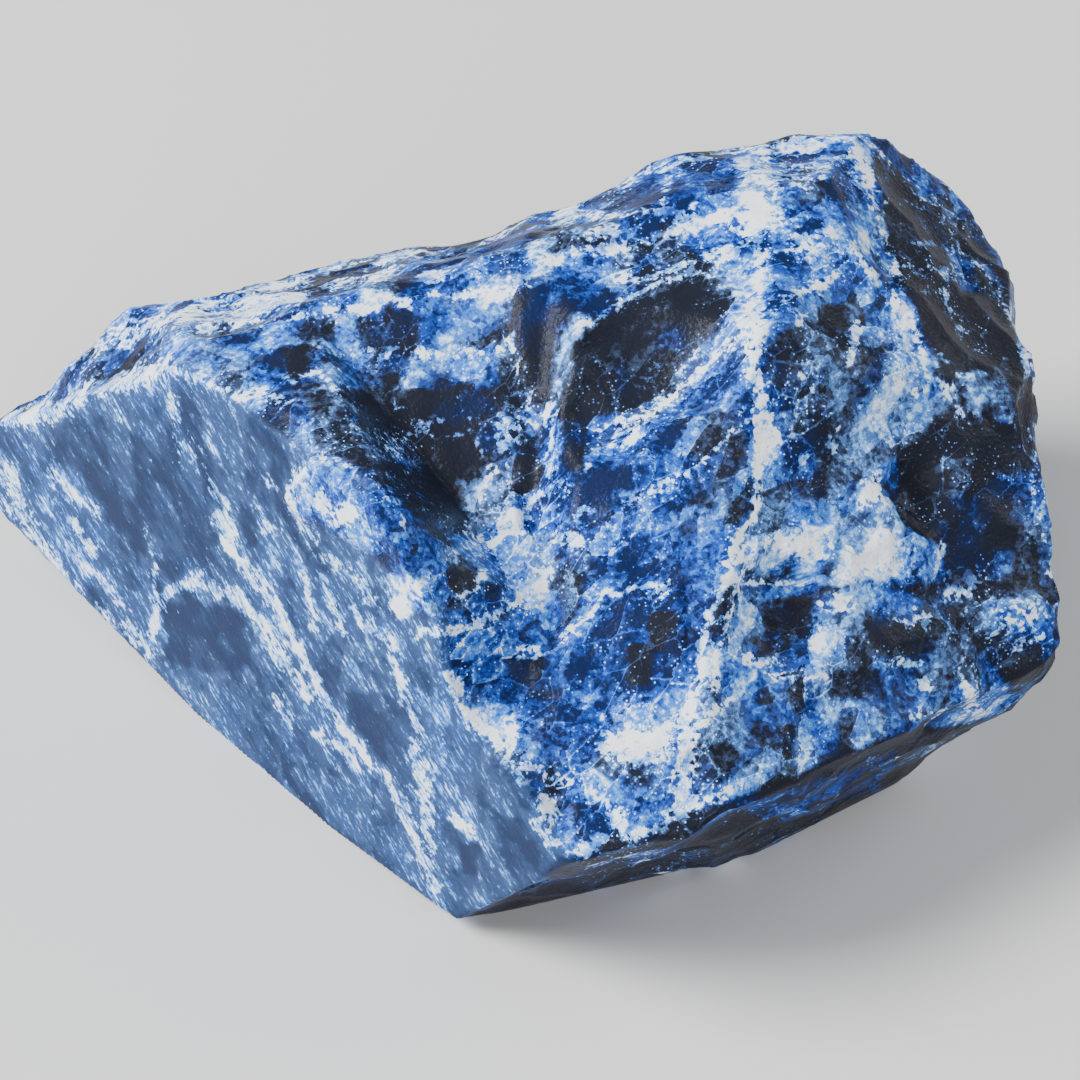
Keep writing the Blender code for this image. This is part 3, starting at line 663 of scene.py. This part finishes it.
# name: (strength, middle, radii, turn in degrees)
WHITE_SPECKS_AND_RIM_HIGHLIGHTS = {
    "crease": (1.0, (222, 522), (14, 14), 0),
    "streaked_a": (0.9, (270, 529), (14, 8), 20),
    "streaked_b": (0.8, (273, 489), (8, 5), 30),
    "streaked_c": (0.7, (253, 507), (6, 5), 0),
    "streaked_d": (0.7, (288, 511), (7, 5), 0),
    "spur_left": (1.0, (324, 503), (9, 18), 0),
    "spur_right": (1.0, (344, 515), (14, 14), 0),
    "spur_foot": (0.95, (398, 606), (12, 12), 0),
    "spur_chips": (0.7, (412, 590), (24, 16), 0),
    "block_high": (1.0, (582, 508), (12, 8), 0),
    "block_low": (1.0, (576, 541), (16, 13), 0),
    "block_front": (1.0, (546, 582), (11, 18), 0),
    "shelf_spot": (1.0, (459, 644), (7, 5), 0),
    "shelf_end": (0.8, (525, 653), (24, 7), 0),
    "wall_star": (1.0, (419, 424), (6, 6), 0),
    "crackle": (0.6, (515, 429), (24, 24), 0),
    "crackle_bright": (1.0, (503, 449), (11, 7), 0),
    "window_spot": (0.9, (590, 447), (9, 6), 0),
    "slope_spot": (0.95, (588, 468), (8, 5), -25),
    "slope_pale": (0.8, (661, 591), (10, 8), 0),
    # painted highlight: these rim specks are partly white rock and partly the light caught on the top-left
    # rim's bevel
    "rim_long": (1.0, (266, 290), (30, 7), -10),
    "rim_low": (0.95, (294, 299), (17, 8), -10),
    "rim_high": (1.0, (430, 277), (24, 7), -12),
    "rim_left": (0.6, (234, 316), (52, 15), -10),
    "plateau_blob": (1.0, (208, 330), (13, 8), 0),
    "plateau_spot": (0.7, (505, 345), (12, 10), 0),
    "top_left": (1.0, (564, 212), (20, 15), -35),
    "top_square": (0.95, (602, 232), (17, 8), -10),
    "top_mass": (1.0, (685, 221), (19, 8), -15),
    "ridge_mass": (1.0, (757, 217), (28, 22), -20),
    "crest_mass": (0.95, (803, 242), (19, 17), 0),
    "crest_spot": (1.0, (800, 320), (9, 7), 0),
    "knot": (1.0, (752, 330), (17, 16), 0),
    "ridge_left": (0.85, (744, 414), (9, 16), 0),
    "top_cells": (0.6, (785, 182), (40, 20), 0),
    "crest_chip_high": (0.9, (858, 328), (6, 11), 0),
    "crest_chip": (0.9, (847, 358), (5, 7), 0),
    "crest_chip_low": (0.9, (917, 392), (8, 8), 0),
    "strip_blob": (1.0, (946, 275), (11, 11), 0),
    "strip_pale": (0.7, (925, 244), (15, 6), 0),
    "strip_edge": (0.7, (1026, 350), (10, 28), 0),
    "ridge_low": (1.0, (766, 434), (17, 16), 0),
    "slope_blob": (1.0, (835, 444), (9, 12), 0),
    "slope_blob_left": (1.0, (806, 459), (7, 6), 0),
    "web_peak": (1.0, (872, 492), (15, 20), 0),
    "web_left": (0.8, (795, 545), (42, 14), 0),
    "web_right": (0.75, (862, 562), (30, 20), 0),
    "web_foot": (0.8, (838, 604), (20, 15), 0),
    "web_corner": (1.0, (938, 552), (8, 10), 0),
    "web_blob": (1.0, (927, 622), (13, 11), 0),
    "ledge_chip": (1.0, (815, 642), (10, 13), 0),
    "low_chips": (0.8, (757, 659), (27, 8), 0),
    "low_spots": (0.95, (925, 682), (9, 6), 0),
    "end_mass": (0.85, (963, 586), (26, 22), 0),
    "end_chunk": (0.6, (1022, 616), (30, 20), 0),
    "foot_dash": (1.0, (513, 735), (8, 19), 0),
    "foot_mass": (0.95, (636, 745), (42, 24), 0),
    "foot_blob": (0.95, (546, 805), (16, 16), 0),
}
# name: (strength, half width in pixels, route)
# real cracks, and painted shadow lines under the front edges of the shelf and of a pale facet
DARK_CRACKS_AND_SHADOW_LINES = {
    "end_crack": (0.9, 4, [(929, 587), (949, 606), (973, 637), (996, 669), (1017, 698)]),
    "shelf_edge_shadow": (1.0, 4, [(449, 661), (548, 661)]),
    "slope_pale_edge_shadow": (0.8, 3, [(648, 602), (673, 602)]),
    "band_slate": (0.7, 6, [(48, 396), (66, 378), (80, 368)]),
    "foot_dash": (0.7, 5, [(617, 770), (631, 791)]),
    "wedge_seam": (0.8, 3, [(462, 536), (440, 545)]),
}

# bearing and tilt of a vein sheet in degrees, its distance from the origin and its width in mm
VEIN_SHEETS = [(20, 35, 4.0, 0.8), (75, 20, -9.0, 0.6), (-40, 60, 6.0, 0.6), (140, -30, 12.0, 0.9),
               (100, 50, 14.0, 0.5), (10, -15, 22.0, 0.8), (160, 10, -14.0, 0.6), (50, -60, 5.0, 0.7),
               (120, 0, 4.0, 0.4), (-15, 25, 27.0, 0.5)]
# their waves in mm and their strength, each with its swing, its pitch in mm and its first seed
SHEET_WAVES = [(1.6, 5.0, 60), (0.7, 2.0, 80)]
SHEET_STRENGTH = 0.75
SHEET_SWINGS = [(0.5, 7.0, 100)]

VEIN_WAVE = 0.8  # share of the facets' waves that the veins follow
FRAY = 5.0  # px, how far the borders of the veins and specks are frayed
FRAY_PITCH = 0.55  # mm
FRAY_SEEDS = (7, 8)
HAZE_SPREAD = 4.0  # width of the blue haze beside a vein, in widths of the vein

# The rock is drawn out along its main cracks, so its mottling is longer that way.
GRAIN_WAY = np.array([0.55, 0.59, 0.59])
GRAIN_PULL = 0.5
CELL_WAVE = 0.35  # mm, how far the borders of the cells wander
CELL_WAVE_PITCH = 1.5  # mm
CELL_WAVE_SEEDS = (18, 19, 20)
MOTTLE_CELLS = [(0.32, 3.0, 11), (0.26, 1.4, 12)]  # strength, pitch in mm, seed
MOTTLE_CLOUDS = [(0.35, 1.6, 13)]
DARK_MOTTLING = 0.30  # how strong the mottling is in black rock
PALE_MOTTLING = 0.42  # how much stronger it is in pale rock
PALE_FROM = 0.35  # paleness that counts as pale there
WHITE_MOTTLING = 0.2  # how much stronger it is in veins
STREAKED_CALM = 0.4  # share of it that the streaked face lacks

WHITE_GAIN = 0.18
HAZE_GAIN = 0.09
STREAKED_HAZE = 0.04  # how much less of the haze the streaked face has
CRACK_AND_SHADOW_LOSS = 0.3
BLUE_SWINGS = [(0.45, 2.6, 14), (0.25, 1.0, 15)]
BLUE_HAZE = 0.15
DUST_SHARE = 0.35
DUST_SWINGS = [(0.6, 3.0, 16), (0.4, 1.2, 17)]
DUST_HAZE = 0.5


def seeded(parts, number):
    """The parts of a noise, with the number added to their seeds."""
    return [(strength, pitch, seed + number) for strength, pitch, seed in parts]


def sheets(points):
    """White on the hidden sides: wavy sheets, each a bell over the distance from its plane."""
    total = np.zeros(len(points))
    for number, (bearing, tilt, distance, width) in enumerate(VEIN_SHEETS):
        gap = points @ direction(bearing, tilt) - distance
        gap += mottles(points, seeded(SHEET_WAVES, number))
        strength = SHEET_STRENGTH + mottles(points, seeded(SHEET_SWINGS, number))
        total = np.maximum(total, strength * np.exp(-(gap / width) ** 2))
    return total


places = picture(skin) + waves * VEIN_WAVE + wander(skin, FRAY_PITCH, FRAY_SEEDS) * FRAY
white = strongest(places, WHITE_VEINS_AND_RIM_HIGHLIGHTS)
for strength, middle, radii, turn in WHITE_SPECKS_AND_RIM_HIGHLIGHTS.values():
    white = np.maximum(white, strength * patch(places, middle, radii, turn))
white = seen * white + hidden * sheets(skin)
haze = seen * strongest(places, WHITE_VEINS_AND_RIM_HIGHLIGHTS, HAZE_SPREAD)
# painted shadow lines under edges darken the rock along with the real cracks
cracks_and_shadow_lines = seen * strongest(places, DARK_CRACKS_AND_SHADOW_LINES)

drawn_out = skin - GRAIN_PULL * (skin @ GRAIN_WAY)[:, None] * GRAIN_WAY
wavy = drawn_out + wander(skin, CELL_WAVE_PITCH, CELL_WAVE_SEEDS) * CELL_WAVE
clouds = mottles(drawn_out, MOTTLE_CLOUDS)
for strength, pitch, seed in MOTTLE_CELLS:
    clouds += strength * cells(wavy, pitch, seed)
clouds *= DARK_MOTTLING + PALE_MOTTLING * smoothstep(paleness / PALE_FROM) + WHITE_MOTTLING * white
clouds *= 1 - STREAKED_CALM * streaked
haze_gain = HAZE_GAIN - STREAKED_HAZE * streaked
dustiness = DUST_SHARE + mottles(skin, DUST_SWINGS) + DUST_HAZE * haze
marks = {
    "level": paleness + clouds + WHITE_GAIN * white + haze_gain * haze - CRACK_AND_SHADOW_LOSS * cracks_and_shadow_lines,
    "blueness": blueness + mottles(skin, BLUE_SWINGS) + BLUE_HAZE * haze,
    "dust": smoothstep(dustiness),
    "streaked": streaked,
    "white": white,
}
for name, values in marks.items():
    held = mesh.attributes.new(name, "FLOAT", "POINT")
    held.data.foreach_set("value", values.astype(np.float32))

# The rock itself: glassy sodalite.
# It runs from black and navy glass through royal blue to pale crystals and white, in small crystals
# with fine dust of crushed rock. A level of paleness and a tint of blueness choose the colour.


class Socket:
    """A node's output. + - * between sockets and numbers add Math nodes."""

    def __init__(self, output):
        self.output = output
        self.tree = output.id_data

    @staticmethod
    def node(tree, kind, settings, inputs, output=0):
        """Adds a node of this kind, with its settings made first, and returns one of its outputs."""
        made = tree.nodes.new(kind)
        for name, value in settings.items():
            setattr(made, name, value)
        for key, value in inputs.items():
            if isinstance(value, Socket):
                tree.links.new(value.output, made.inputs[key])
            else:
                made.inputs[key].default_value = value
        return Socket(made.outputs[output])

    def math(self, operation, first, second):
        return self.node(self.tree, "ShaderNodeMath", {"operation": operation}, {0: first, 1: second})

    def __add__(self, other):
        return self.math("ADD", self, other)

    __radd__ = __add__

    def __sub__(self, other):
        return self.math("SUBTRACT", self, other)

    def __rsub__(self, other):
        return self.math("SUBTRACT", other, self)

    def __mul__(self, other):
        return self.math("MULTIPLY", self, other)

    __rmul__ = __mul__

    def over(self, step):
        """Smooth step of the value from the step's low end to its high end."""
        inputs = {"Value": self, "From Min": step[0], "From Max": step[1]}
        return self.node(self.tree, "ShaderNodeMapRange", {"interpolation_type": "SMOOTHSTEP"}, inputs)

    def mix(self, first, second):
        """Colour between first and second, by this value."""
        inputs = {0: self, 6: first, 7: second}
        return self.node(self.tree, "ShaderNodeMix", {"data_type": "RGBA"}, inputs, 2)

    def vector(self, operation, other):
        return self.node(self.tree, "ShaderNodeVectorMath", {"operation": operation},
                         {0: self, 1: other})

    def mapped(self, turn, stretch):
        """Places turned and shrunk, so that a pattern read there is stretched along the turn."""
        inputs = {"Vector": self, "Rotation": turn, "Scale": stretch}
        return self.node(self.tree, "ShaderNodeMapping", {"vector_type": "TEXTURE"}, inputs)

    def noise(self, scale, detail, roughness):
        inputs = {"Vector": self, "Scale": scale, "Detail": detail, "Roughness": roughness}
        return self.node(self.tree, "ShaderNodeTexNoise", {}, inputs, "Fac")

    def voronoi(self, scale, feature, output):
        inputs = {"Vector": self, "Scale": scale}
        return self.node(self.tree, "ShaderNodeTexVoronoi", {"feature": feature}, inputs, output)

    def beside(self, output):
        """Another output of the same node."""
        return Socket(self.output.node.outputs[output])

    def red(self):
        return self.node(self.tree, "ShaderNodeSeparateColor", {}, {0: self})


# the fine patterns; a noise is its waves per mm, its octaves and its roughness
GRAIN_NOISE = (2.6, 3.0, 0.7)
GRAIN_BEND = (0.7, 0.5, -0.6)  # mm, how far the grain bends the crystals' borders
CRYSTALS_PER_MM = 0.8
CRYSTAL_TURN = (0.0, -0.63, 0.82)  # turns +X to the way of the main cracks
CRYSTAL_STRETCH = (2.0, 1.0, 1.0)
OUTLINE_STEP = (0.0, 0.07)  # how near the border of two crystals its pale outline runs
CHIPS_PER_MM = 3.0
DUST_STEP = (0.08, 0.28)  # from the middle of a chip outwards
DUSTY_CHIPS = 0.7  # with the step below, how many chips have a speck of dust
DUSTY_STEP = (0.25, 0.5)

# how far each pattern moves the level; the first two and the grain are weaker in black rock
CRYSTAL_GAIN = 0.34
CHIP_GAIN = 0.32
FINE_IN_BLACK = 0.35
FINE_IN_PALE = 0.75  # how much more they do in pale rock
FINE_STEP = (0.0, 0.35)
FILLED_GAIN = 0.46
DUST_GAIN = 0.95
OUTLINE_GAIN = 0.42
# how the patterns break the edge of a filled vein
FILLED_CHIPS = 0.6
FILLED_CRYSTALS = 0.3
FILLED_STEP = (0.38, 0.66)

material = bpy.data.materials.new("sodalite_rock")
material.use_nodes = True
stone.data.materials.append(material)
tree = material.node_tree
shader = tree.nodes["Principled BSDF"]


def mark(name):
    return Socket.node(tree, "ShaderNodeAttribute", {"attribute_name": name}, {}, "Fac")


coarse, blue, dusty, streaky, filling = [mark(name) for name in marks]
metres = Socket.node(tree, "ShaderNodeTexCoord", {}, {}, "Object")
place = metres.vector("MULTIPLY", (1 / MM, 1 / MM, 1 / MM))

grain = place.noise(*GRAIN_NOISE) - 0.5
bent = place.vector("ADD", grain.vector("MULTIPLY", GRAIN_BEND))
stretched = bent.mapped(CRYSTAL_TURN, CRYSTAL_STRETCH)
crystal_cells = stretched.voronoi(CRYSTALS_PER_MM, "F1", "Color")
crystals = crystal_cells.red() - 0.5
rim = stretched.voronoi(CRYSTALS_PER_MM, "F2", "Distance") - crystal_cells.beside("Distance")
outlines = (1 - rim.over(OUTLINE_STEP)) * dusty
chip_cells = place.voronoi(CHIPS_PER_MM, "F1", "Color")
chips = chip_cells.red() - 0.5
dust = (1 - chip_cells.beside("Distance").over(DUST_STEP)) * (chips + DUSTY_CHIPS).over(DUSTY_STEP) * dusty

fine = coarse.over(FINE_STEP) * FINE_IN_PALE + FINE_IN_BLACK
filled = (filling + chips * FILLED_CHIPS + grain + crystals * FILLED_CRYSTALS).over(FILLED_STEP)
level = coarse + (crystals * CRYSTAL_GAIN + chips * CHIP_GAIN + grain) * fine
level = level + filled * FILLED_GAIN + dust * DUST_GAIN + outlines * OUTLINE_GAIN

BLACK = (0.012, 0.014, 0.023, 1)
NAVY = (0.007, 0.015, 0.060, 1)
SLATE = (0.034, 0.050, 0.100, 1)
ROYAL = (0.012, 0.058, 0.34, 1)
HAZE = (0.062, 0.150, 0.38, 1)
SKY = (0.040, 0.180, 0.62, 1)
PALE = (0.21, 0.46, 0.92, 1)
WHITE = (0.82, 0.88, 0.94, 1)
CRYSTAL_TINT = 0.4  # how far each crystal's blueness differs
TINT_STEP = (0.25, 0.95)
DARK_STEP = (0.10, 0.36)  # levels between black or navy and slate or royal, and so on
HAZE_STEP = (0.38, 0.54)
PALE_STEP = (0.60, 0.84)
WHITE_STEP = (0.84, 1.12)

tint = (blue + crystals * CRYSTAL_TINT).over(TINT_STEP)
hazy = tint.mix(HAZE, SKY)
colour = level.over(DARK_STEP).mix(tint.mix(BLACK, NAVY), tint.mix(SLATE, ROYAL))
colour = level.over(HAZE_STEP).mix(colour, hazy)
colour = level.over(PALE_STEP).mix(colour, PALE)
colour = level.over(WHITE_STEP).mix(colour, WHITE)

# The streaked face is a cleavage plane: a grey blue veil under white dashes that all run one way.
STREAK_TURN = (0.0, 0.698, -0.832)
STREAK_STRETCH = (3.6, 1.0, 1.0)
DASH_NOISE = (1.5, 3.0, 0.66)
FINE_DASH_NOISE = (5.0, 2.0, 0.6)
VEIL_DARK = (0.013, 0.026, 0.072, 1)
VEIL_LIGHT = (0.036, 0.076, 0.200, 1)
VEIL_DASHES = 0.5
VEIL_GRAIN = 0.3
VEIL_STEP = (0.06, 0.46)
DASH_GAIN = 1.3
FINE_DASH_GAIN = 1.5
DASH_GRAIN = 0.9
DASH_DUST = 0.30
DASH_FILLED = 0.36
DASH_HAZE_STEP = (0.44, 0.60)
DASH_PALE_STEP = (0.60, 0.78)
DASH_WHITE_STEP = (0.78, 1.05)

dash_place = place.mapped(STREAK_TURN, STREAK_STRETCH)
dashes = dash_place.noise(*DASH_NOISE) - 0.5
fine_dashes = dash_place.noise(*FINE_DASH_NOISE) - 0.5
veil = (coarse + dashes * VEIL_DASHES + grain * VEIL_GRAIN).over(VEIL_STEP)
streaks = coarse + dashes * DASH_GAIN + fine_dashes * FINE_DASH_GAIN + grain * DASH_GRAIN
streaks = streaks + dust * DASH_DUST + filled * DASH_FILLED
veil_colour = streaks.over(DASH_HAZE_STEP).mix(veil.mix(VEIL_DARK, VEIL_LIGHT), hazy)
veil_colour = streaks.over(DASH_PALE_STEP).mix(veil_colour, PALE)
veil_colour = streaks.over(DASH_WHITE_STEP).mix(veil_colour, WHITE)

# The dark glass is the smoothest. The bump is the finest roughness, below what the mesh carries.
GLASS_ROUGHNESS = 0.36
PALE_ROUGHER = 0.20
ROUGHER_STEP = (0.1, 0.8)
STREAKED_ROUGHER = 0.10
GRAIN_ROUGHER = 0.2
GLASS_IOR = 1.49
SHINE = 0.08  # most of the broken skin is dull
BUMP_NOISE = (4.0, 1.0, 0.5)
BUMP_HEIGHT = 0.2  # mm
BUMP_STRENGTH = 0.3
STREAKED_BUMP = 0.7  # share of the bump that the streaked face lacks

roughness = level.over(ROUGHER_STEP) * PALE_ROUGHER + GLASS_ROUGHNESS
roughness = roughness + streaky * STREAKED_ROUGHER + grain * GRAIN_ROUGHER
height = place.noise(*BUMP_NOISE) * (1 - streaky * STREAKED_BUMP)
bump_inputs = {"Height": height, "Strength": BUMP_STRENGTH, "Distance": BUMP_HEIGHT * MM}
bump = Socket.node(tree, "ShaderNodeBump", {}, bump_inputs, "Normal")
varying = {"Base Color": streaky.mix(colour, veil_colour), "Roughness": roughness, "Normal": bump}
for name, value in varying.items():
    tree.links.new(value.output, shader.inputs[name])
shader.inputs["IOR"].default_value = GLASS_IOR
shader.inputs["Specular IOR Level"].default_value = SHINE

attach(stone, "root")
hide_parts("sodalite_stone")

# The pale floor.
# A plain sheet under the stone, matt and even. It is the studio's, not part of the stone.

FLOOR_SIDE = 6.0  # m
FLOOR_GREY = (0.62, 0.62, 0.62, 1)
FLOOR_ROUGHNESS = 0.6

bpy.ops.mesh.primitive_plane_add(size=FLOOR_SIDE, location=(0, 0, 0))
floor = bpy.context.object
floor.name = "floor"
paint = bpy.data.materials.new("floor")
paint.use_nodes = True
paint_shader = paint.node_tree.nodes["Principled BSDF"]
paint_shader.inputs["Base Color"].default_value = FLOOR_GREY
paint_shader.inputs["Roughness"].default_value = FLOOR_ROUGHNESS
floor.data.materials.append(paint)

# The light.
# Soft studio light from large square panels: the main one stands above the left side, as in the
# photograph, and two weak ones fill the front and the right. A dim even sky fills the rest.

STONE_MIDDLE = Vector((0, 0, 0.015))  # m
# name: (place in metres, side in metres, power in watts)
PANELS = {
    "main_panel": ((-0.52, -0.05, 0.52), 0.35, 13.0),
    "front_panel": ((0.1, -0.7, 0.5), 0.5, 4.0),
    "right_panel": ((0.6, 0.2, 0.4), 0.4, 3.0),
}
SKY_COLOUR = (0.9, 0.93, 1.0, 1)
SKY_STRENGTH = 0.2

for name, (spot, side, power) in PANELS.items():
    panel = bpy.data.lights.new(name, "AREA")
    panel.size = side
    panel.energy = power
    lamp = bpy.data.objects.new(name, panel)
    bpy.context.collection.objects.link(lamp)
    lamp.location = spot
    lamp.rotation_euler = (STONE_MIDDLE - Vector(spot)).to_track_quat("-Z", "Y").to_euler()

world = bpy.context.scene.world or bpy.data.worlds.new("studio")
bpy.context.scene.world = world
world.use_nodes = True
sky = world.node_tree.nodes["Background"]
sky.inputs["Color"].default_value = SKY_COLOUR
sky.inputs["Strength"].default_value = SKY_STRENGTH

# The camera.
# It looks at the stone from the front, 45 degrees down, as the photograph does.

SENSOR = 36.0  # mm

camera_data = bpy.data.cameras.new("camera")
camera_data.sensor_width = SENSOR
camera_data.lens = SENSOR * CAMERA_DISTANCE / (PHOTO_PIXELS * PIXEL_AT_TARGET)
camera = bpy.data.objects.new("camera", camera_data)
bpy.context.collection.objects.link(camera)
camera.location = EYE * MM
camera.rotation_euler = (math.pi / 2 - CAMERA_ELEVATION, 0, 0)
bpy.context.scene.camera = camera
